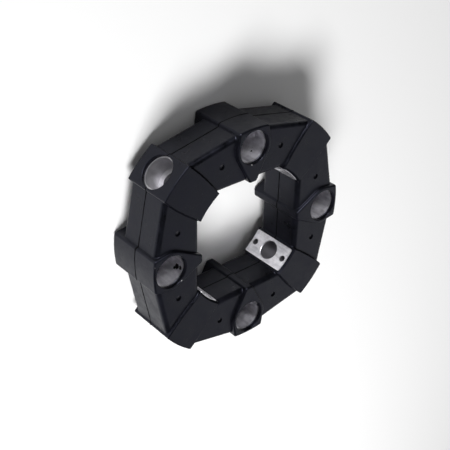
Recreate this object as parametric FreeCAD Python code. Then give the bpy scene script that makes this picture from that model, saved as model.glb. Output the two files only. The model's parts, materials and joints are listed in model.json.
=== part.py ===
# Eight-station flexible ring coupling.
# One moulded rubber ring carries four aluminium inserts whose screws run along the axis
# and four whose screws run towards the centre. The ring lies on its back, with its axis
# along +Z and the origin on the axis at the mounting faces of the axial inserts.
# All lengths are millimetres and all angles degrees.
import FreeCAD
import Part
import math
import os

# Ring
STATIONS_OF_A_KIND = 4
BOLT_CIRCLE_RADIUS = 70.0

# Rubber segments between the stations
SEGMENT_WIDTH = 37.0
SEGMENT_OUTER_TILT = 11.5
SEGMENT_EDGE = 3.4
DIMPLE_SETBACK = 2.1
DIMPLE_DIAMETER = 4.3
DIMPLE_DEPTH = 2.0

# Bores in the aluminium
HEAD_BORE_DIAMETER = 22.6
SCREW_HOLE_DIAMETER = 14.4
GRIP_LENGTH = 22.8
BORE_CHAMFER = 0.4
DOWEL_DIAMETER = 4.8
DOWEL_DEPTH = 10.0
DOWEL_EDGE = 3.8

# Axial stations, raised collars around the screws that run along the axis
AXIAL_FRONT_RISE = 2.5
AXIAL_BACK_RISE = 8.0
AXIAL_WALL = 1.7
AXIAL_CROWN_WALL = 1.1
AXIAL_SKIN = 1.9
AXIAL_OUTER_STEP = 2.26
AXIAL_OUTER_TAPER = 1.9
AXIAL_TIP_STEP = 1.2
AXIAL_TIP_WIDTH = 5.8

# Radial stations, raised collars around the screws that run to the hub
RADIAL_RISE = 1.9
RADIAL_WALL = 1.2
RADIAL_SKIN = 1.5
RADIAL_OUTER_STEP = 1.67
RADIAL_BOW = 0.4

# Seats for the hub on the radial inserts
SEAT_RADIUS = 52.0
SEAT_WIDTH = 19.2
SEAT_RUBBER_EDGE = 1.6
SEAT_TO_SEGMENT = 1.1
METAL_PROUD = 0.5

# Rubber lips over the head bores
LIP_THICKNESS = 3.0
LIP_SETBACK = 0.8

# Rounding
CORNER_ROUND = 1.8
RIM_ROUND = 1.3
FOOT_ROUND = 0.8
MOUTH_ROUND = 0.5
INSERT_ROUND = 1.2


# Heights that follow from these, with the axial inserts standing on the ground
PITCH = 360.0 / STATIONS_OF_A_KIND
SEGMENT_BACK = METAL_PROUD + AXIAL_BACK_RISE
SEGMENT_FRONT = SEGMENT_BACK + SEGMENT_WIDTH
MIDDLE = (SEGMENT_BACK + SEGMENT_FRONT) / 2
AXIAL_FRONT = SEGMENT_FRONT + AXIAL_FRONT_RISE
RADIAL_BACK = SEGMENT_BACK - RADIAL_RISE
RADIAL_FRONT = SEGMENT_FRONT + RADIAL_RISE
SEAT_HEIGHT = RADIAL_FRONT - RADIAL_BACK - 2 * SEAT_RUBBER_EDGE
DOWEL_SPACING = SEAT_HEIGHT - 2 * DOWEL_EDGE

# Radii and half widths that follow, those of a station along and across its own direction
MOUTH_RADIUS = HEAD_BORE_DIAMETER / 2 + LIP_SETBACK
AXIAL_BOSS = HEAD_BORE_DIAMETER / 2 + AXIAL_WALL + AXIAL_SKIN
AXIAL_HALF = AXIAL_BOSS - AXIAL_OUTER_TAPER
AXIAL_OUTER = BOLT_CIRCLE_RADIUS + HEAD_BORE_DIAMETER / 2 + AXIAL_CROWN_WALL + AXIAL_SKIN
RADIAL_HALF = HEAD_BORE_DIAMETER / 2 + RADIAL_WALL + RADIAL_SKIN
SEAT_HALF = SEAT_WIDTH / 2 + RADIAL_SKIN
SEAT_EDGE = math.sqrt((SEAT_RADIUS + METAL_PROUD) ** 2 - SEAT_HALF ** 2)
SEGMENT_INNER = (SEAT_EDGE + SEAT_TO_SEGMENT + SEAT_HALF) * math.cos(math.radians(PITCH / 2))
AXIAL_TIP = SEGMENT_INNER - AXIAL_TIP_STEP

# The segments' outer faces start one step below the axial corners and end one step below
# the radial corners
TILT = math.radians(SEGMENT_OUTER_TILT)
RADIAL_TILT = math.radians(PITCH / 2 - SEGMENT_OUTER_TILT)
AXIAL_FACE = math.sqrt(AXIAL_OUTER ** 2 - AXIAL_HALF ** 2) - AXIAL_OUTER_STEP
SEGMENT_OUTER = AXIAL_FACE * math.cos(TILT) + AXIAL_HALF * math.sin(TILT)
RADIAL_FACE = (SEGMENT_OUTER - RADIAL_HALF * math.sin(RADIAL_TILT)) / math.cos(RADIAL_TILT)
RADIAL_OUTER = math.hypot(RADIAL_FACE + RADIAL_OUTER_STEP, RADIAL_HALF)
FAR = 3 * RADIAL_OUTER

# Roundings that stay within the steps they meet
AXIAL_CORNER = min(CORNER_ROUND, AXIAL_OUTER_STEP - FOOT_ROUND / 2)
RADIAL_CORNER = min(CORNER_ROUND, RADIAL_OUTER_STEP - FOOT_ROUND / 2)
AXIAL_RIM = min(RIM_ROUND, 0.8 * AXIAL_CORNER)
RADIAL_RIM = min(RIM_ROUND, 0.7 * RADIAL_CORNER)
FOOT = min(FOOT_ROUND, RADIAL_RISE - RADIAL_RIM - 0.1)
MOUTH = min(MOUTH_ROUND, 0.8 * (RADIAL_HALF - RADIAL_CORNER - MOUTH_RADIUS))


def vec(x, y, z=0.0):
    return FreeCAD.Vector(x, y, z)


UP = vec(0, 0, 1)


def turned(shape, angle):
    copy = shape.copy()
    copy.rotate(vec(0, 0), UP, angle)
    return copy


def flipped(point):
    return vec(point.x, -point.y, point.z)


def slab(outline, low, high):
    face = Part.Face(outline)
    face.translate(vec(0, 0, low))
    return face.extrude(vec(0, 0, high - low))


def polygon(points):
    return Part.makePolygon(points + [points[0]])


def line_meeting(first, second):
    # Corner of two lines, each given as (angle of its normal, distance from the axis)
    (a, d), (b, e) = first, second
    a, b = math.radians(a), math.radians(b)
    det = math.sin(b - a)
    return vec((d * math.sin(b) - e * math.sin(a)) / det,
               (e * math.cos(a) - d * math.cos(b)) / det)


def on_circle(radius, half_width):
    return vec(math.sqrt(radius ** 2 - half_width ** 2), half_width)


def on_heading(radius, angle):
    return radius * math.cos(math.radians(angle)), radius * math.sin(math.radians(angle))


def touch_point(centre_x, radius, point, side):
    # Where the line from an outside point touches a circle centred on the X axis
    reach = math.hypot(point.x - centre_x, point.y)
    angle = math.atan2(point.y, point.x - centre_x) + side * math.acos(radius / reach)
    return vec(centre_x + radius * math.cos(angle), radius * math.sin(angle))


def adjacent_normals(shape, edge):
    middle = edge.valueAt((edge.FirstParameter + edge.LastParameter) / 2)
    normals = []
    for face in shape.ancestorsOfType(edge, Part.Face):
        u, v = face.Surface.parameter(middle)
        normals.append(face.normalAt(u, v))
    return middle, normals


def is_sharp(shape, edge):
    normals = adjacent_normals(shape, edge)[1]
    return len(normals) == 2 and normals[0].getAngle(normals[1]) > math.radians(12)


def is_foot(shape, edge):
    # A re-entrant edge has material beside it, a short step along either face
    middle, normals = adjacent_normals(shape, edge)
    if len(normals) != 2 or normals[0].getAngle(normals[1]) < math.radians(12):
        return False
    step = (normals[0] - normals[1]).normalize() * 0.05
    return shape.isInside(middle + step, 1e-6, False)


def is_level(edge):
    return edge.BoundBox.ZLength < 1e-6


# Rubber segments: flat outer faces that rise towards the radial stations, around a square hole
def segment_ring():
    hidden = RADIAL_FACE + RADIAL_OUTER_STEP / 2
    outer_faces = []
    inner_faces = []
    for k in range(STATIONS_OF_A_KIND):
        outer_faces.append((PITCH * k - SEGMENT_OUTER_TILT, SEGMENT_OUTER))
        outer_faces.append((PITCH * k + SEGMENT_OUTER_TILT, SEGMENT_OUTER))
        outer_faces.append((PITCH * (k + 0.5), hidden))
        inner_faces.append((PITCH * k, SEGMENT_INNER))

    def plate(faces):
        corners = [line_meeting(faces[i - 1], faces[i]) for i in range(len(faces))]
        return slab(polygon(corners), SEGMENT_BACK, SEGMENT_FRONT)

    ring = plate(outer_faces).cut(plate(inner_faces))
    return ring.makeFillet(SEGMENT_EDGE, [e for e in ring.Edges if is_level(e)])


def axial_outline(inset):
    # Crowned outer face, sides tangent to a boss around the bore, then a tapering inner lug
    outer = AXIAL_OUTER - inset
    boss = AXIAL_BOSS - inset
    corner = on_circle(outer, AXIAL_HALF - inset)
    tip = vec(AXIAL_TIP + inset, AXIAL_TIP_WIDTH / 2 - inset / 2)
    start = touch_point(BOLT_CIRCLE_RADIUS, boss, corner, 1)
    end = touch_point(BOLT_CIRCLE_RADIUS, boss, tip, -1)
    crest = vec(BOLT_CIRCLE_RADIUS, boss)
    curves = [
        Part.Arc(flipped(corner), vec(outer, 0), corner),
        Part.LineSegment(corner, start),
        Part.Arc(start, crest, end),
        Part.LineSegment(end, tip),
        Part.LineSegment(tip, flipped(tip)),
        Part.LineSegment(flipped(tip), flipped(end)),
        Part.Arc(flipped(end), flipped(crest), flipped(start)),
        Part.LineSegment(flipped(start), flipped(corner)),
    ]
    return Part.Wire([curve.toShape() for curve in curves])


def bowed_outline(corner, middle, seat, end):
    # Bowed sides that run on past the seat, which is cut later, closed by the outer end
    bow = Part.Arc(corner, middle, seat).toShape().Curve
    drop = bow.Center.x - AXIAL_TIP
    inner = vec(AXIAL_TIP, bow.Center.y + math.sqrt(bow.Radius ** 2 - drop ** 2))
    curves = [
        end,
        Part.Arc(corner, middle, inner),
        Part.LineSegment(inner, flipped(inner)),
        Part.Arc(flipped(inner), flipped(middle), flipped(corner)),
    ]
    return Part.Wire([curve.toShape() for curve in curves])


def radial_outline():
    corner = on_circle(RADIAL_OUTER, RADIAL_HALF)
    middle = vec(BOLT_CIRCLE_RADIUS, RADIAL_HALF - RADIAL_BOW)
    seat = vec(SEAT_RADIUS, SEAT_HALF)
    crown = Part.Arc(flipped(corner), vec(RADIAL_OUTER, 0), corner)
    return bowed_outline(corner, middle, seat, crown)


def radial_insert_outline():
    corner = vec(RADIAL_OUTER - LIP_THICKNESS, RADIAL_HALF - RADIAL_SKIN)
    middle = vec(BOLT_CIRCLE_RADIUS, RADIAL_HALF - RADIAL_BOW - RADIAL_SKIN)
    seat = vec(SEAT_RADIUS, SEAT_HALF - RADIAL_SKIN)
    return bowed_outline(corner, middle, seat, Part.LineSegment(flipped(corner), corner))


def collar(outline, corner_radius, rim_radius, low, high):
    block = slab(outline, low, high)
    upright = [e for e in block.Edges if not is_level(e) and is_sharp(block, e)]
    block = block.makeFillet(corner_radius, upright)
    return block.makeFillet(rim_radius, [e for e in block.Edges if is_level(e)])


def seat_cutter():
    # Hub cylinder with a flare that bevels the rubber beside the front and back of the seat,
    # kept to the width of one station so that the segments beside it stay whole
    radius = SEAT_RADIUS + METAL_PROUD
    half = SEAT_HEIGHT / 2 + METAL_PROUD / 2
    bevel = RADIAL_FRONT - MIDDLE - half
    top = MIDDLE + half + 2 * bevel
    profile = polygon([
        vec(0, 0, 2 * MIDDLE - top),
        vec(radius + 2 * bevel, 0, 2 * MIDDLE - top),
        vec(radius, 0, MIDDLE - half),
        vec(radius, 0, MIDDLE + half),
        vec(radius + 2 * bevel, 0, top),
        vec(0, 0, top),
    ])
    reach = SEAT_HALF + FOOT
    strip = Part.makeBox(FAR, 2 * reach, 2 * FAR, vec(0, -reach, -FAR))
    return Part.Face(profile).revolve(vec(0, 0), UP, 360).common(strip)


def rubber_sector():
    # Half an axial station, one segment and half a radial station, with rounded feet
    corner = vec(FAR, FAR * math.tan(math.radians(PITCH / 2)))
    wedge = slab(polygon([vec(0, 0), vec(FAR, 0), corner]), -FAR, FAR)
    axial = collar(axial_outline(0.0), AXIAL_CORNER, AXIAL_RIM, METAL_PROUD, AXIAL_FRONT)
    radial = collar(radial_outline(), RADIAL_CORNER, RADIAL_RIM, RADIAL_BACK, RADIAL_FRONT)
    radial = turned(radial, PITCH / 2)
    sector = segment_ring().fuse([axial, radial]).common(wedge).removeSplitter()
    notch = line_meeting((PITCH / 2 + 90, -SEAT_HALF), (0, SEGMENT_INNER))
    feet = []
    for edge in sector.Edges:
        centre = edge.BoundBox.Center
        in_notch = math.hypot(centre.x - notch.x, centre.y - notch.y) < 2 * SEGMENT_EDGE
        if is_foot(sector, edge) and not in_notch:
            feet.append(edge)
    sector = sector.makeFillet(FOOT, feet)
    return sector.cut(turned(seat_cutter(), PITCH / 2))


def axial_insert_blank():
    block = slab(axial_outline(AXIAL_SKIN), 0, AXIAL_FRONT - LIP_THICKNESS)
    upright = [e for e in block.Edges if not is_level(e) and is_sharp(block, e)]
    return block.makeFillet(INSERT_ROUND, upright)


def radial_insert_blank():
    # Block as wide as its rubber allows, with a concave seat for the hub
    low = MIDDLE - SEAT_HEIGHT / 2
    block = slab(radial_insert_outline(), low, low + SEAT_HEIGHT)
    sides = [e for e in block.Edges if is_level(e) and e.BoundBox.XLength > 1]
    hub = Part.makeCylinder(SEAT_RADIUS, 2 * FAR, vec(0, 0, -FAR))
    return block.makeFillet(INSERT_ROUND, sides).cut(hub)


def round_edges(shape, start, direction, radius):
    # Closed edges around an axis that lie beyond a starting point
    found = []
    for edge in shape.Edges:
        span = (edge.FirstParameter, (edge.FirstParameter + edge.LastParameter) / 2, edge.LastParameter)
        offsets = [edge.valueAt(parameter) - start for parameter in span]
        heights = [offset.dot(direction) for offset in offsets]
        spread = [abs((offset - direction * height).Length - radius)
                  for offset, height in zip(offsets, heights)]
        if min(heights) > 0 and max(spread) < 0.01:
            found.append(edge)
    return found


def bored(insert, seat, direction):
    # Clearance hole from the seat, then a wider bore for the screw head
    screw = Part.makeCylinder(SCREW_HOLE_DIAMETER / 2, FAR, seat - direction * GRIP_LENGTH, direction)
    head = Part.makeCylinder(HEAD_BORE_DIAMETER / 2, FAR, seat + direction * GRIP_LENGTH, direction)
    insert = insert.cut([screw, head])
    inside = seat + direction * GRIP_LENGTH / 2
    entry = round_edges(insert, inside, direction * -1, SCREW_HOLE_DIAMETER / 2)
    return insert.makeChamfer(BORE_CHAMFER, entry)


def with_dowel_holes(insert):
    holes = []
    for side in (-1, 1):
        start = vec(SEAT_RADIUS - DOWEL_DEPTH, 0, MIDDLE + side * DOWEL_SPACING / 2)
        holes.append(Part.makeCylinder(DOWEL_DIAMETER / 2, 2 * DOWEL_DEPTH, start, vec(1, 0, 0)))
    return insert.cut(holes)


def with_mouth(rubber, start, direction, angle):
    # Opening in the rubber lip over the head bore, with a rounded rim
    turn = FreeCAD.Rotation(UP, angle)
    start, direction = turn.multVec(start), turn.multVec(direction)
    rubber = rubber.cut(Part.makeCylinder(MOUTH_RADIUS, FAR, start, direction))
    rim = round_edges(rubber, start + direction * LIP_THICKNESS / 4, direction, MOUTH_RADIUS)
    return rubber.makeFillet(MOUTH, rim)


def only_solid(shape):
    if len(shape.Solids) != 1:
        raise ValueError("expected one solid")
    return shape.Solids[0]


def build():
    axial_angles = [PITCH * k for k in range(STATIONS_OF_A_KIND)]
    radial_angles = [angle + PITCH / 2 for angle in axial_angles]
    axial_blank = axial_insert_blank()
    radial_blank = radial_insert_blank()

    sector = rubber_sector()
    other_hand = sector.mirror(vec(0, 0), vec(0, 1, 0))
    copies = []
    for angle in axial_angles:
        copies.append(turned(sector, angle))
        copies.append(turned(other_hand, angle))
    rubber = copies[0].fuse(copies[1:]).removeSplitter()

    cavities = [turned(axial_blank, angle) for angle in axial_angles]
    cavities += [turned(radial_blank, angle) for angle in radial_angles]
    for angle in axial_angles + radial_angles:
        x, y = on_heading(BOLT_CIRCLE_RADIUS - DIMPLE_SETBACK, angle + PITCH / 4)
        start = vec(x, y, SEGMENT_FRONT - DIMPLE_DEPTH)
        cavities.append(Part.makeCylinder(DIMPLE_DIAMETER / 2, FAR, start))
    rubber = rubber.cut(cavities)
    for angle in axial_angles:
        start = vec(BOLT_CIRCLE_RADIUS, 0, AXIAL_FRONT - LIP_THICKNESS)
        rubber = with_mouth(rubber, start, UP, angle)
    for angle in radial_angles:
        start = vec(RADIAL_OUTER - LIP_THICKNESS, 0, MIDDLE)
        rubber = with_mouth(rubber, start, vec(1, 0, 0), angle)

    nodes = {"rubber_body": rubber}
    axial = bored(axial_blank, vec(BOLT_CIRCLE_RADIUS, 0), UP)
    radial = with_dowel_holes(bored(radial_blank, vec(SEAT_RADIUS, 0, MIDDLE), vec(1, 0, 0)))
    for k, angle in enumerate(axial_angles):
        nodes["axial_insert_%d" % (k + 1)] = turned(axial, angle)
    for k, angle in enumerate(radial_angles):
        nodes["radial_insert_%d" % (k + 1)] = turned(radial, angle)
    return nodes


if __name__ == "__main__":
    os.makedirs("parts", exist_ok=True)
    for name, shape in build().items():
        solid = only_solid(shape)
        solid.exportStep("parts/%s.step" % name)
        box = solid.BoundBox
        print(name, solid.isValid(), round(solid.Volume), len(solid.Faces),
              [round(v, 2) for v in (box.XMin, box.YMin, box.ZMin, box.XMax, box.YMax, box.ZMax)])
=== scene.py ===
# %% [markdown]
# # A flexible ring coupling
# The real object is one moulded rubber ring with eight aluminium inserts bonded into it.
# Four inserts take screws along the ring's axis, the other four take screws towards the centre.
# The solids come from the packed model and stay where they are. This file gives them their
# finish, adds the fine marks that moulding and handling leave, and sets up a small studio.

# %% Load the packed model
import bpy
import bmesh
import json
import math
from mathutils import Matrix, Vector, noise
from mathutils.bvhtree import BVHTree


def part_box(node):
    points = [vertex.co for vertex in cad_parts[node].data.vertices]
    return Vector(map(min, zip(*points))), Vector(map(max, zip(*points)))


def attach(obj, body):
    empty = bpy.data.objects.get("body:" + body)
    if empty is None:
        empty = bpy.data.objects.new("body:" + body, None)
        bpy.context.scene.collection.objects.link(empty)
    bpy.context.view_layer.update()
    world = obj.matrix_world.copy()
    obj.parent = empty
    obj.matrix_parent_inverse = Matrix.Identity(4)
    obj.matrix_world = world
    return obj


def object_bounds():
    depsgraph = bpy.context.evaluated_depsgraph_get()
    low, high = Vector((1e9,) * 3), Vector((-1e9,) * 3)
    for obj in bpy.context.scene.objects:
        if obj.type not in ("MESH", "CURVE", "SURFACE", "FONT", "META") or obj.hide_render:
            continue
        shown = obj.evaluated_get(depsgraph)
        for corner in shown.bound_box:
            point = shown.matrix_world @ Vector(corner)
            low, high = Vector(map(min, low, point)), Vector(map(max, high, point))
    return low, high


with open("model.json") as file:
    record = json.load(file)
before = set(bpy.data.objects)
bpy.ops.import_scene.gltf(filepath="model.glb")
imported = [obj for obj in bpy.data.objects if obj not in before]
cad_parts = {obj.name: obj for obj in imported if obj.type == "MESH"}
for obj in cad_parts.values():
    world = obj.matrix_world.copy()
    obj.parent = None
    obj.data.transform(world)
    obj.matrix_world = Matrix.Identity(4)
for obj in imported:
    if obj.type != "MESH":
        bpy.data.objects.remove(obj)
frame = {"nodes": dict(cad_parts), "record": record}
cad_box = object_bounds()
MM = 0.001
RUBBER = "rubber_body"
AXIAL_INSERTS = sorted(name for name in frame["nodes"] if name.startswith("axial_insert"))
RADIAL_INSERTS = sorted(name for name in frame["nodes"] if name.startswith("radial_insert"))
print("pieces:", len(frame["nodes"]))
print("box in mm:", [round(side / MM, 1) for side in cad_box[1] - cad_box[0]])

# %% [markdown]
# ## Where things are
# The ring lies on the backs of its axial inserts, with its axis along Z. The finish needs a few
# places on it, and these could be typed in. Read from the pieces and the record instead, they
# follow the model when a size changes: the middle height is halfway up a radial insert, and the
# bolt circle and the screw holes come from the record's mounts.

# %% Places read from the pieces
radial_low, radial_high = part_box(RADIAL_INSERTS[0])
MIDDLE = (radial_low.z + radial_high.z) / 2
mounts = {mount["name"]: mount for mount in frame["record"]["mounts"]}
BOLT_CIRCLE = mounts["axial_screws"]["dims"]["pcd_mm"] / 2 * MM
SCREW_RADIUS = mounts["axial_screws"]["dims"]["hole_r_mm"] * MM
print("middle height", round(MIDDLE / MM, 2), "bolt circle radius", round(BOLT_CIRCLE / MM, 2))

# %% [markdown]
# ## Camera
# The picture was taken from above the ring's front and to one side, with the camera turned well
# over to its left. Three angles could say that, but a place, a point to aim at and the direction
# that is up in the picture are easier to read and to change, and two cross products turn them
# into the camera's axes.

# %% Camera
CAMERA_PLACE = Vector((-362.5, 343.62, 447.23)) * MM
CAMERA_AIM = Vector((-7.02, 2.34, 27.0)) * MM
PICTURE_UP = Vector((0.32701, 0.84976, -0.41349))
LENS_MM = 72.89
SENSOR_MM = 36.0

backward = (CAMERA_PLACE - CAMERA_AIM).normalized()
rightward = PICTURE_UP.cross(backward).normalized()
upward = backward.cross(rightward)
camera_data = bpy.data.cameras.new("camera")
camera_data.lens = LENS_MM
camera_data.sensor_width = SENSOR_MM
camera_data.clip_start = 10 * MM
camera = bpy.data.objects.new("camera", camera_data)
camera.matrix_world = Matrix.Translation(CAMERA_PLACE) @ Matrix(
    (rightward, upward, backward)).transposed().to_4x4()
bpy.context.scene.collection.objects.link(camera)
bpy.context.scene.camera = camera
bpy.context.scene.view_settings.view_transform = "Standard"
print("camera looks down at", round(math.degrees(math.asin(backward.z)), 1), "degrees")

# %% [markdown]
# ## Shader arithmetic
# A finish is mostly arithmetic on patterns: this noise times that mask, one minus the other.
# Each step is a Math node, and a long chain of them is hard to read. So a small class wraps a
# socket and turns + - * and ** into Math nodes. The reflected forms let a number come first, as
# in 1 - mask.


# %% A socket that can be used in expressions
class Pattern:
    """A value, colour or vector of a finish, at every point of the surface."""

    def __init__(self, finish, socket):
        self.finish = finish
        self.socket = socket

    def operate(self, operation, first, second=0.0, clamp=False):
        settings = {"operation": operation, "use_clamp": clamp}
        return self.finish.node("ShaderNodeMath", settings, {0: first, 1: second})

    def __add__(self, other):
        return self.operate("ADD", self, other)

    def __sub__(self, other):
        return self.operate("SUBTRACT", self, other)

    def __rsub__(self, other):
        return self.operate("SUBTRACT", other, self)

    def __mul__(self, other):
        return self.operate("MULTIPLY", self, other)

    def __pow__(self, other):
        return self.operate("POWER", self, other)

    __radd__ = __add__
    __rmul__ = __mul__

    def clamped(self):
        return self.operate("ADD", self, 0.0, clamp=True)

    def size(self):
        return self.operate("ABSOLUTE", self)


print("a pattern knows", sorted(name for name in vars(Pattern) if not name.startswith("__")))

# %% [markdown]
# ## Finishes
# A finish is one material. All its nodes come from a single method that takes the node's type,
# its settings and what goes into its sockets, so noise, ramps and colour mixes are one line each.
# Colours and vectors need Mix and Vector Math, because a Math node would turn a colour grey.
# Noise is asked for by the size of its lumps in millimetres, which can be read off a photo.


# %% A material whose nodes are made by one method
class Finish:
    """One material, built on the shader that it starts with."""

    def __init__(self, name, **constants):
        self.material = bpy.data.materials.new(name)
        self.material.use_nodes = True
        self.tree = self.material.node_tree
        self.shader = self.tree.nodes["Principled BSDF"]
        for socket, value in constants.items():
            self.shader.inputs[socket.replace("_", " ")].default_value = value

    def node(self, kind, settings, inputs, output=0):
        made = self.tree.nodes.new(kind)
        for name, value in settings.items():
            if name == "stops":
                self.set_stops(made.color_ramp, value)
            else:
                setattr(made, name, value)
        for key, value in inputs.items():
            if isinstance(value, Pattern):
                self.tree.links.new(value.socket, made.inputs[key])
            else:
                made.inputs[key].default_value = value
        return Pattern(self, made.outputs[output])

    def set_stops(self, ramp, stops):
        for position, level in stops[1:-1]:
            ramp.elements.new(position)
        for element, (position, level) in zip(ramp.elements, stops):
            element.position = position
            element.color = (level, level, level, 1.0)

    def feed(self, socket, pattern):
        self.tree.links.new(pattern.socket, self.shader.inputs[socket])

    def place(self):
        return self.node("ShaderNodeTexCoord", {}, {}, "Object")

    def noise(self, scale_mm, detail=2.0, roughness=0.5, stretch=(1, 1, 1)):
        """Noise whose lumps are about scale_mm across, from 0 to 1."""
        spread = tuple(s / (scale_mm * MM) for s in stretch)
        spot = self.node("ShaderNodeVectorMath", {"operation": "MULTIPLY"},
                         {0: self.place(), 1: spread})
        return self.node("ShaderNodeTexNoise", {},
                         {"Vector": spot, "Scale": 1.0, "Detail": detail, "Roughness": roughness})

    def ramp(self, pattern, *stops):
        return self.node("ShaderNodeValToRGB", {"stops": stops}, {0: pattern})

    def mix(self, factor, first, second):
        return self.node("ShaderNodeMix", {"data_type": "RGBA"},
                         {0: factor, 6: first, 7: second}, 2)

    def bump(self, height, strength, distance_mm, normal=None):
        inputs = {"Height": height, "Strength": strength, "Distance": distance_mm * MM}
        if normal is not None:
            inputs["Normal"] = normal
        return self.node("ShaderNodeBump", {}, inputs)

    def tell(self):
        print(self.material.name, "has", len(self.tree.nodes), "nodes")


print("a finish knows", sorted(name for name in vars(Finish) if not name.startswith("__")))

# %% [markdown]
# ## Moulded rubber
# The rubber is filled with carbon black, so it hardly scatters light: what shows is a soft satin
# reflection. Wax that blooms to the surface makes it paler in places and gives the reflection a
# lilac cast. A painted map could carry that, but the ring has no seams to unfold it along, so
# noise in the object's own space does it: wide smears of release agent with finer clouds on top.
# The tint is a constant, because a wax film is the same colour everywhere.

# %% Black rubber and its bloom
BLACK_RUBBER = (0.0024, 0.0027, 0.0034, 1.0)
BLOOMED_RUBBER = (0.0062, 0.0063, 0.0098, 1.0)
LILAC = (0.70, 0.73, 1.0, 1.0)

rubber = Finish("moulded_rubber", Specular_IOR_Level=0.22, Specular_Tint=LILAC)
smear = rubber.noise(17, detail=4, roughness=0.65)
cloud = rubber.noise(5, detail=4, roughness=0.65)
bloom = rubber.ramp(smear * 0.6 + cloud * 0.4, (0.36, 0.0), (0.66, 1.0))
print("rubber base from", BLACK_RUBBER[0], "to", BLOOMED_RUBBER[0])

# %% [markdown]
# ### Rubbed places
# Where the ring has been handled, short pale scratches run along it. Drawn one by one they would
# look planned. Noise that is stretched a lot in one direction and cut off high gives short
# strokes, and a second, wide noise keeps them to a few patches.

# %% Scratches
strokes = rubber.noise(0.9, detail=2, stretch=(1.0, 0.35, 0.06))
rubbed = rubber.ramp(strokes, (0.66, 0.0), (0.76, 1.0))
patches = rubber.ramp(rubber.noise(14, detail=1), (0.52, 0.0), (0.66, 1.0))
scratches = rubbed * patches
rubber.tell()

# %% [markdown]
# ### Painted light on the dimple floors
# Each segment has a shallow round dimple, probably from a pin of the mould. Its floor is painted
# pale, as painted light where the dimple's walls shade it. Eight spots could mark them. But the
# dimples are in the solids, so the mask only has to find their floors: they are level, and they
# all lie at one height, a station's rise and a dimple's depth below the top of the ring.

# %% Find the floors of the dimples
STATION_RISE = 2.5 * MM
DIMPLE_DEPTH = 2.0 * MM
DIMPLE_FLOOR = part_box(RUBBER)[1].z - STATION_RISE - DIMPLE_DEPTH
# Pale grey: the worn colour of the scratches, and painted light on the dimple floors.
PALE_WEAR_AND_DIMPLE_LIGHT = (0.040, 0.040, 0.045, 1.0)

height = rubber.node("ShaderNodeSeparateXYZ", {}, {0: rubber.place()}, "Z")
facing = rubber.node("ShaderNodeNewGeometry", {}, {}, "True Normal")
upright = rubber.node("ShaderNodeSeparateXYZ", {}, {0: facing}, "Z")
# Mask of the dimple floors, where the painted light goes.
at_floor = (0.3 - (height - DIMPLE_FLOOR).size() * (1 / MM)).clamped() * 4
dimples = (at_floor * ((upright - 0.9) * 20).clamped()).clamped()
print("dimple floors at", round(DIMPLE_FLOOR / MM, 2), "mm")

# %% [markdown]
# ### Spots
# Some marks sit at certain places: specks of chalk on the rubber, grease in the bores. Each could
# be a small piece of its own, but it has no thickness that would show. So it is a mask around its
# place, given in millimetres in the model's own frame, and noise taken from the distance makes
# its edge ragged.

# %% A mask for one spot
SPOT_MARGIN = 0.45 * MM
SPOT_SHARPNESS = 2.5 / MM


def spot(finish, place_mm, radius_mm, ragged):
    """1 inside a small blot, fading over its ragged edge."""
    place = tuple(c * MM for c in place_mm)
    away = finish.node("ShaderNodeVectorMath", {"operation": "DISTANCE"},
                       {0: finish.place(), 1: place}, "Value")
    return ((radius_mm * MM + SPOT_MARGIN - away - ragged) * SPOT_SHARPNESS).clamped()


print("a spot's edge is", round(1 / SPOT_SHARPNESS / MM, 2), "mm wide")

# %% Chalk specks
CHALK = (0.65, 0.65, 0.67, 1.0)
SPECKS = [
    ((-61.9, -10.2, 48.0), 0.6), ((-83.4, 8.9, 48.0), 0.4), ((59.0, 49.4, 45.6), 0.55),
    ((9.2, 55.3, 48.0), 0.55), ((-2.1, 57.8, 48.0), 0.55), ((-37.1, -38.3, 45.5), 1.1),
    ((-38.9, -40.0, 45.5), 0.6), ((-80.4, 30.6, 44.4), 0.4), ((21.0, -77.0, 45.4), 0.4),
]

crumbs = rubber.noise(0.7, detail=3) * 0.9 * MM
chalk = 0.0
for place, radius in SPECKS:
    chalk = spot(rubber, place, radius, crumbs) + chalk
print("specks:", len(SPECKS))

# %% [markdown]
# ### Putting the rubber together
# The painted light on the dimple floors and the pale scratches are lighter than the rubber, chalk
# lies on top of both. Bloom, clouds and scratches all dull the reflection, so they add to the
# roughness too. The mould leaves a fine grain. It is too small for geometry, so it is a bump,
# laid over a wider, softer one.

# %% Feed the rubber's shader
colour = rubber.mix(bloom, BLACK_RUBBER, BLOOMED_RUBBER)
# Painted light: the dimple floors turn pale here, and the scratches take their worn colour.
colour = rubber.mix((dimples * 0.9 + scratches * 0.45).clamped(), colour, PALE_WEAR_AND_DIMPLE_LIGHT)
rubber.feed("Base Color", rubber.mix(chalk.clamped(), colour, CHALK))
rubber.feed("Roughness", 0.20 + bloom * 0.22 + cloud * 0.12 + scratches * 0.1)
grain = rubber.noise(0.5, detail=2)
rubber.feed("Normal", rubber.bump(grain, 0.14, 0.03, rubber.bump(cloud, 0.30, 0.25)))
rubber.tell()

# %% [markdown]
# ## Machined aluminium
# The bores were turned and the hub seats were milled. Both tools leave fine level lines: rings
# around a bore whose axis stands up, and strokes across a seat. So one noise that is stretched
# until it only changes with height serves both, and no direction has to be given per piece. Away
# from the lines the metal is slightly clouded, with pale and dark streaks along the bores and a
# few stains. The metal is fully metallic: any diffuse share would light the wrong half of a bore.

# %% Machined aluminium
OLD_METAL = (0.52, 0.515, 0.55, 1.0)
FRESH_METAL = (0.94, 0.93, 0.97, 1.0)
STAIN = (0.10, 0.095, 0.095, 1.0)


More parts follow.
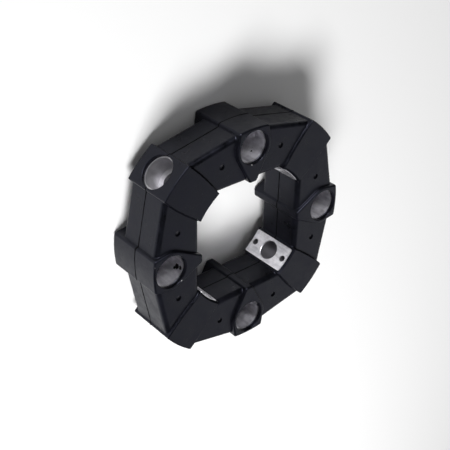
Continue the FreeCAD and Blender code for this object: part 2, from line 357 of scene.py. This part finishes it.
def machined_aluminium(name):
    """A finish with the tool's lines in it, and the colour and roughness that it starts from."""
    metal = Finish(name, Metallic=1.0)
    cloud = metal.noise(5, detail=4, roughness=0.6)
    cuts = metal.noise(0.55, detail=3, stretch=(0.04, 0.04, 1.0))
    streaks = metal.noise(4.0, detail=4, stretch=(1.0, 1.0, 0.16))
    fine = metal.noise(0.35, detail=2)
    worn = metal.ramp(cloud * 0.4 + streaks * 0.6, (0.34, 0.0), (0.60, 1.0))
    stained = metal.ramp(metal.noise(3.2, detail=4, roughness=0.7), (0.66, 0.0), (0.74, 1.0))
    colour = metal.mix(worn, OLD_METAL, FRESH_METAL)
    colour = metal.mix(stained * 0.7, colour, STAIN)
    metal.feed("Normal", metal.bump(cuts, 0.35, 0.03, metal.bump(fine, 0.2, 0.02)))
    return metal, colour, 0.34 + worn * 0.08 + cuts * 0.12 + fine * 0.05


print("metal base from", OLD_METAL[0], "to", FRESH_METAL[0])

# %% [markdown]
# ### Turned aluminium
# The bores of the axial inserts have black smears, probably old grease: a large one in one bore
# and a dot in the next. Noise alone would put them anywhere. They use the same spots as the
# chalk, with a coarser edge, so they sit where the real ones do.

# %% Turned aluminium for the axial inserts
GREASE = (0.018, 0.017, 0.017, 1.0)
SMUDGES = [
    ((-59.3, -3.5, 43.2), 2.3), ((-59.5, -4.1, 39.6), 2.8),
    ((-60.3, -5.8, 37.6), 1.9), ((6.9, 61.0, 37.0), 1.5),
]

turned, colour, roughness = machined_aluminium("turned_aluminium")
torn = turned.noise(1.1, detail=4, roughness=0.7) * 2.2 * MM
for place, radius in SMUDGES:
    colour = turned.mix(spot(turned, place, radius, torn), colour, GREASE)
turned.feed("Base Color", colour)
turned.feed("Roughness", roughness)
turned.tell()

# %% [markdown]
# ### Milled aluminium
# Inside the radial bores the metal is painted darker than on the seats, as painted shade: in the
# screw and dowel holes, which are drilled, and in the wide bores for the screw heads, which are
# turned roughly. Those are rougher too. Each bore could have its own mask. All four are alike,
# though, so the mask folds the ring onto one quarter: with |x| and |y| their four axes become one,
# and distances along it and from it tell the holes apart.

# %% Masks for the inside of the radial bores
HEAD_START = 74.0 * MM
SEAT_END = 52.5 * MM
DOWEL_RISE = 15.0 * MM
DOWEL_RADIUS = 2.4 * MM
WALL_MARGIN = 0.15 * MM
WALL_SHARPNESS = 8 / MM
DEPTH_SHARPNESS = 2 / MM


def radial_bores(metal):
    """Two masks: the wide bores for the screw heads, and the drilled holes behind the seats."""
    turn = 1 / math.sqrt(2)
    parts = [metal.node("ShaderNodeSeparateXYZ", {}, {0: metal.place()}, axis) for axis in "XYZ"]
    x, y, height = parts[0].size(), parts[1].size(), parts[2] - MIDDLE
    along, aside = (x + y) * turn, (x - y) * turn
    rise = height.size() - DOWEL_RISE
    from_screw = (aside * aside + height * height) ** 0.5
    from_dowel = (aside * aside + rise * rise) ** 0.5
    screw = ((SCREW_RADIUS + WALL_MARGIN - from_screw) * WALL_SHARPNESS).clamped()
    dowel = ((DOWEL_RADIUS + WALL_MARGIN - from_dowel) * WALL_SHARPNESS).clamped()
    behind_seat = ((along - SEAT_END) * DEPTH_SHARPNESS).clamped()
    head = ((along - HEAD_START) * DEPTH_SHARPNESS).clamped()
    return head, (screw + dowel).clamped() * behind_seat


print("screw heads sit", round((HEAD_START - SEAT_END) / MM, 1), "mm behind the seats")

# %% Milled aluminium for the radial inserts
# Painted shade: darker metal inside the holes and the head bores.
HOLE_SHADE = (0.27, 0.265, 0.29, 1.0)
HEAD_BORE_SHADE = (0.30, 0.295, 0.31, 1.0)

milled, colour, roughness = machined_aluminium("milled_aluminium")
head, drilled = radial_bores(milled)
# The head bores and the holes are painted darker here, as painted shade, and made rougher.
colour = milled.mix(head * 0.75, colour, HEAD_BORE_SHADE)
milled.feed("Base Color", milled.mix(drilled, colour, HOLE_SHADE))
milled.feed("Roughness", roughness + drilled * 0.1 + head * 0.08)
milled.tell()


# %% [markdown]
# ### Which piece gets which finish
# A piece could hold several materials, one per face. Here each piece is one thing made in one
# way, so it gets one, and what differs over its surface is in the masks above.

# %% Give the pieces their finish
def paint(node, finish):
    mesh = frame["nodes"][node].data
    mesh.materials.clear()
    mesh.materials.append(finish.material)


paint(RUBBER, rubber)
for node in AXIAL_INSERTS:
    paint(node, turned)
for node in RADIAL_INSERTS:
    paint(node, milled)
print("metal pieces:", len(AXIAL_INSERTS) + len(RADIAL_INSERTS))

# %% [markdown]
# ## Moulding line
# The mould closes near half height, so a thin ridge of flash runs round the outside and the
# inside of the ring. It is far too fine for the solids. A bump in the material could hint at it,
# but it wouldn't catch light on both its sides, so it is a real bead: the ring's own mesh is cut
# level, the edges of the cut that show are joined into runs, and a thin tube follows each run.

# %% Cut the ring where the mould closed
PARTING_HEIGHT = MIDDLE - 1.0 * MM
WELD = 0.001 * MM


def cut_edges(node, height):
    """Edges of a level cut through a piece, as pairs of points with the surface's normal."""
    form = bmesh.new()
    form.from_mesh(frame["nodes"][node].data)
    bmesh.ops.remove_doubles(form, verts=form.verts, dist=WELD)
    whole = form.verts[:] + form.edges[:] + form.faces[:]
    cut = bmesh.ops.bisect_plane(form, geom=whole, dist=WELD / 10,
                                 plane_co=(0, 0, height), plane_no=(0, 0, 1))
    edges = []
    for edge in (item for item in cut["geom_cut"] if isinstance(item, bmesh.types.BMEdge)):
        normal = sum((face.normal for face in edge.link_faces), Vector())
        normal.z = 0
        edges.append((edge.verts[0].co.copy(), edge.verts[1].co.copy(), normal.normalized()))
    form.free()
    return edges


ring_cut = cut_edges(RUBBER, PARTING_HEIGHT)
print("edges in the cut:", len(ring_cut))

# %% [markdown]
# Some of that cut lies where the rubber touches metal, and some in the openings of the radial
# bores. Neither shows a moulding line. A point is against metal when an insert's surface is
# right beside it, and a search tree over each insert's faces finds that quickly.

# %% Find the edges against metal
CONTACT = 0.08 * MM
metal_surfaces = []
for node in AXIAL_INSERTS + RADIAL_INSERTS:
    form = bmesh.new()
    form.from_mesh(frame["nodes"][node].data)
    metal_surfaces.append(BVHTree.FromBMesh(form))
    form.free()


def against_metal(point):
    return any(tree.find_nearest(point, CONTACT)[0] is not None for tree in metal_surfaces)


print("edges against metal:", sum(against_metal((a + b) / 2) for a, b, _ in ring_cut))

# %% [markdown]
# An edge is in an opening when it lies beside the axis of a radial bore, outside the bolt circle,
# and its normal doesn't run along that axis. The axes lie halfway between the axial stations.

# %% Keep the edges that show
MOUTH_LIP = 0.8 * MM
OPENING_RADIUS = mounts["radial_head_1"]["dims"]["r_mm"] * MM + MOUTH_LIP
OPENING_MARGIN = 0.1 * MM
QUARTER = math.pi / 2


def in_opening(point, normal):
    """Beside the axis of a radial bore, on its side wall."""
    station = (math.floor(math.atan2(point.y, point.x) / QUARTER) + 0.5) * QUARTER
    along = Vector((math.cos(station), math.sin(station), 0))
    beside = abs(point.cross(along).z) < OPENING_RADIUS + OPENING_MARGIN
    return beside and point.dot(along) > BOLT_CIRCLE and abs(normal.dot(along)) < 0.5


shown = []
for start, end, normal in ring_cut:
    middle = (start + end) / 2
    if not against_metal(middle) and not in_opening(middle, normal):
        shown.append((start, end, normal))
print("edges that show:", len(shown), "of", len(ring_cut))

# %% [markdown]
# The cut gives loose edges in no order, and a tube needs its points one after the other. So the
# edges are chained: from an end that only one edge reaches, always on to the next edge that
# shares a point. Points that lie closer than a few thousandths of a millimetre count as one.

# %% Join the edges into runs
SAME_POINT = 0.002 * MM
SHORTEST_RUN = 1 * MM


def key(point):
    return round(point.x / SAME_POINT), round(point.y / SAME_POINT)


def joined(edges):
    """Chains edges that share a point into runs of (point, normal)."""
    links = {}
    for index, (start, end, normal) in enumerate(edges):
        links.setdefault(key(start), []).append(index)
        links.setdefault(key(end), []).append(index)
    left = set(range(len(edges)))

    def reaching(point):
        return [index for index in links[key(point)] if index in left]

    runs = []
    while left:
        ends = [i for i in left if min(len(reaching(point)) for point in edges[i][:2]) == 1]
        current = min(ends) if ends else min(left)
        start, end, normal = edges[current]
        if len(reaching(start)) > 1:
            start, end = end, start
        run = [(start, normal)]
        while current is not None:
            left.discard(current)
            a, b, normal = edges[current]
            start = b if key(a) == key(start) else a
            run.append((start, normal))
            following = reaching(start)
            current = following[0] if following else None
        runs.append(run)
    return runs


def run_length(run):
    return sum((b[0] - a[0]).length for a, b in zip(run, run[1:]))


runs = [run for run in joined(shown) if run_length(run) > SHORTEST_RUN]
print("runs:", len(runs), "lengths in mm:", sorted(round(run_length(run) / MM) for run in runs))

# %% [markdown]
# The tube needs evenly spread points, or its swelling would follow the mesh and not the mould.
# Flash must not make the ring wider than it is. It could be thinned all round, but then it would
# hardly show, so it is pressed flat only where the ring is widest. A hair of it stays proud
# there, which stops it from sinking into the surface.

# %% Spread the points, and keep them in the box
FLASH_STEP = 0.8 * MM
FLUSH = Vector((0.02, 0.02, 0.0)) * MM


def flash_stations(run):
    """Evenly spread points along a run, each with its normal."""
    stations = []
    for (start, _), (end, normal) in zip(run, run[1:]):
        pieces = max(1, math.ceil((end - start).length / FLASH_STEP))
        for k in range(pieces):
            stations.append((start.lerp(end, k / pieces), normal))
    stations.append((run[-1][0], run[-1][1]))
    return stations


def held_in(point):
    """Presses a point back to the sides of the ring's box."""
    low, high = cad_box[0] - FLUSH, cad_box[1] + FLUSH
    return Vector(min(max(c, a), b) for c, a, b in zip(point, low, high))


print("stations:", sum(len(flash_stations(run)) for run in runs))

# %% [markdown]
# The two halves of a mould never meet perfectly, so the flash wanders a little up and down and
# swells and thins along its way. Random numbers would make it jump. Smooth noise, read at each
# point, gives both, and gives the same flash on each run. At one place on the outside the real
# line has a small lump, the knot, where the radius grows to almost twice its size.

# %% How thick the flash is, and how far it wanders
FLASH_RADIUS = 0.38 * MM
FLASH_DEPTH = 0.8
FLASH_HEIGHT = 1.35
KNOT = Vector((-84.3, -7.7, PARTING_HEIGHT / MM)) * MM
KNOT_REACH = 1.4 * MM


def flash_radius(point):
    swell = 0.85 + 0.45 * noise.noise(point / (5 * MM) + Vector((7, 3, 1)))
    knot = 1 + 0.9 * math.exp(-((point - KNOT).length / KNOT_REACH) ** 2)
    return FLASH_RADIUS * max(0.45, swell) * knot


def flash_wander(point):
    rise = noise.noise(point / (9 * MM)) * 0.16 * MM + noise.noise(point / (2.3 * MM)) * 0.05 * MM
    return Vector((0, 0, rise))


print("flash radius at the knot:", round(flash_radius(KNOT) / MM, 2), "mm")

# %% [markdown]
# Around each point goes a small ring of corners, flattened towards the surface, and faces join
# it to the next. A curve with a bevel could do the same, but its profile turns with the curve,
# and here the flat side has to face the ring at every point.

# %% One run of flash
FLASH_SIDES = 8


def flash_mesh(form, run):
    stations = flash_stations(run)
    last = len(stations) - 1
    rings = []
    for k, (point, normal) in enumerate(stations):
        outward = (normal + stations[max(k - 1, 0)][1] + stations[min(k + 1, last)][1]).normalized()
        radius, wander = flash_radius(point), flash_wander(point)
        ring = []
        for side in range(FLASH_SIDES):
            turn = 2 * math.pi * side / FLASH_SIDES
            offset = outward * math.cos(turn) * radius * FLASH_DEPTH
            offset += Vector((0, 0, math.sin(turn) * radius * FLASH_HEIGHT))
            ring.append(form.verts.new(held_in(point + wander + offset)))
        rings.append(ring)
    for low, high in zip(rings, rings[1:]):
        for side in range(FLASH_SIDES):
            following = (side + 1) % FLASH_SIDES
            form.faces.new((low[side], low[following], high[following], high[side]))
    form.faces.new(rings[0])
    form.faces.new(reversed(rings[-1]))


form = bmesh.new()
for run in runs:
    flash_mesh(form, run)
bmesh.ops.recalc_face_normals(form, faces=form.faces)
print("moulding line faces:", len(form.faces))

# %% [markdown]
# Flash is torn off rather than moulded smooth, so it reflects less than the ring beside it and
# reads as a dark thread. It could share the ring's finish, but then it would vanish on the faces
# that shine. It is part of the rubber, and it is attached to the root body.

# %% The moulding line
THREAD_BLACK = (0.001, 0.001, 0.0013, 1.0)
THREAD_GREY = (0.003, 0.003, 0.0038, 1.0)

torn_rubber = Finish("flash_rubber", Specular_IOR_Level=0.05)
fine = torn_rubber.noise(1.5, detail=3)
torn_rubber.feed("Base Color", torn_rubber.mix(fine, THREAD_BLACK, THREAD_GREY))
torn_rubber.feed("Roughness", 0.5 + fine * 0.3)

mesh = bpy.data.meshes.new("moulding_line")
form.to_mesh(mesh)
form.free()
mesh.shade_smooth()
mesh.materials.append(torn_rubber.material)
moulding_line = bpy.data.objects.new("moulding_line", mesh)
bpy.context.scene.collection.objects.link(moulding_line)
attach(moulding_line, "root")
torn_rubber.tell()

# %% [markdown]
# ## Studio
# Black rubber shows little but reflections, so the studio is built from what each side mirrors.
# The outer faces mirror the floor, and the front faces mirror a low pale panel on the far side.
# The floor is a plain pale sheet. It could be curved up into a backdrop, but the camera looks
# down steeply and never sees its end.

# %% Floor
FLOOR_HALF = 3.0
FLOOR_DROP = 0.05 * MM
FLOOR_GREY = (0.9, 0.9, 0.9, 1.0)

floor_paint = Finish("floor_paint", Roughness=0.9, Specular_IOR_Level=0.1, Base_Color=FLOOR_GREY)
sheet = bpy.data.meshes.new("floor")
corners = [(-1, -1), (1, -1), (1, 1), (-1, 1)]
sheet.from_pydata([(x * FLOOR_HALF, y * FLOOR_HALF, -FLOOR_DROP) for x, y in corners],
                  [], [(0, 1, 2, 3)])
sheet.materials.append(floor_paint.material)
floor = bpy.data.objects.new("floor", sheet)
bpy.context.scene.collection.objects.link(floor)
print("floor is", 2 * FLOOR_HALF, "m wide")


# %% [markdown]
# ### Lamps
# Lamps could be typed in by place and rotation. Seen from the ring, all that matters is where
# each one stands, so that is what a lamp is given: its azimuth, its height in degrees and its
# distance. It then looks back at the ring. The key lamp only has to light the floor: glossy rays
# don't see it, so it leaves no streak on the rounded edges. The panels do the opposite. They
# show in reflections and leave the floor alone, so the floor keeps one soft shadow, and the
# faces that mirror the shadow stay dark.

# %% Lamps
def lamp(name, azimuth, elevation, distance, width, watts, height=None):
    """A soft lamp aimed at the ring, placed by its direction seen from the ring."""
    a, e = math.radians(azimuth), math.radians(elevation)
    direction = Vector((math.cos(a) * math.cos(e), math.sin(a) * math.cos(e), math.sin(e)))
    data = bpy.data.lights.new(name, "AREA")
    data.shape = "RECTANGLE"
    data.size = width
    data.size_y = height or width
    data.energy = watts
    made = bpy.data.objects.new(name, data)
    made.location = Vector((0, 0, MIDDLE)) + direction * distance
    made.rotation_mode = "QUATERNION"
    made.rotation_quaternion = direction.to_track_quat("Z", "Y")
    bpy.context.scene.collection.objects.link(made)
    return made


key_lamp = lamp("key", 220, 48, 1.3, 0.6, 24.0)
key_lamp.visible_glossy = False
panels = [
    lamp("front_panel", 322, 32, 1.6, 1.3, 4.4),
    lamp("bore_panel", 103, 32, 1.2, 0.4, 17.0),
    lamp("low_strip", 122, 7, 1.3, 1.2, 8.0, height=0.22),
]
for panel in panels:
    panel.visible_diffuse = False
print("lamps:", len(bpy.data.lights))

# %% [markdown]
# ### Sky
# With one lamp the shadow on the floor would be black. A faint even sky fills it. The sky is
# kept out of reflections, where it would turn the black edges grey.

# %% Sky
SKY_STRENGTH = 0.21

sky = bpy.data.worlds.new("sky")
bpy.context.scene.world = sky
sky.use_nodes = True
background = sky.node_tree.nodes["Background"]
background.inputs["Color"].default_value = (1.0, 1.0, 1.0, 1.0)
background.inputs["Strength"].default_value = SKY_STRENGTH
sky.cycles_visibility.glossy = False
print("sky strength:", SKY_STRENGTH)

# %% [markdown]
# ## Sizes
# The finish must not make the part bigger than the model: the moulding line is pressed back to
# the model's box.

# %% End of the finish
print("finish done")
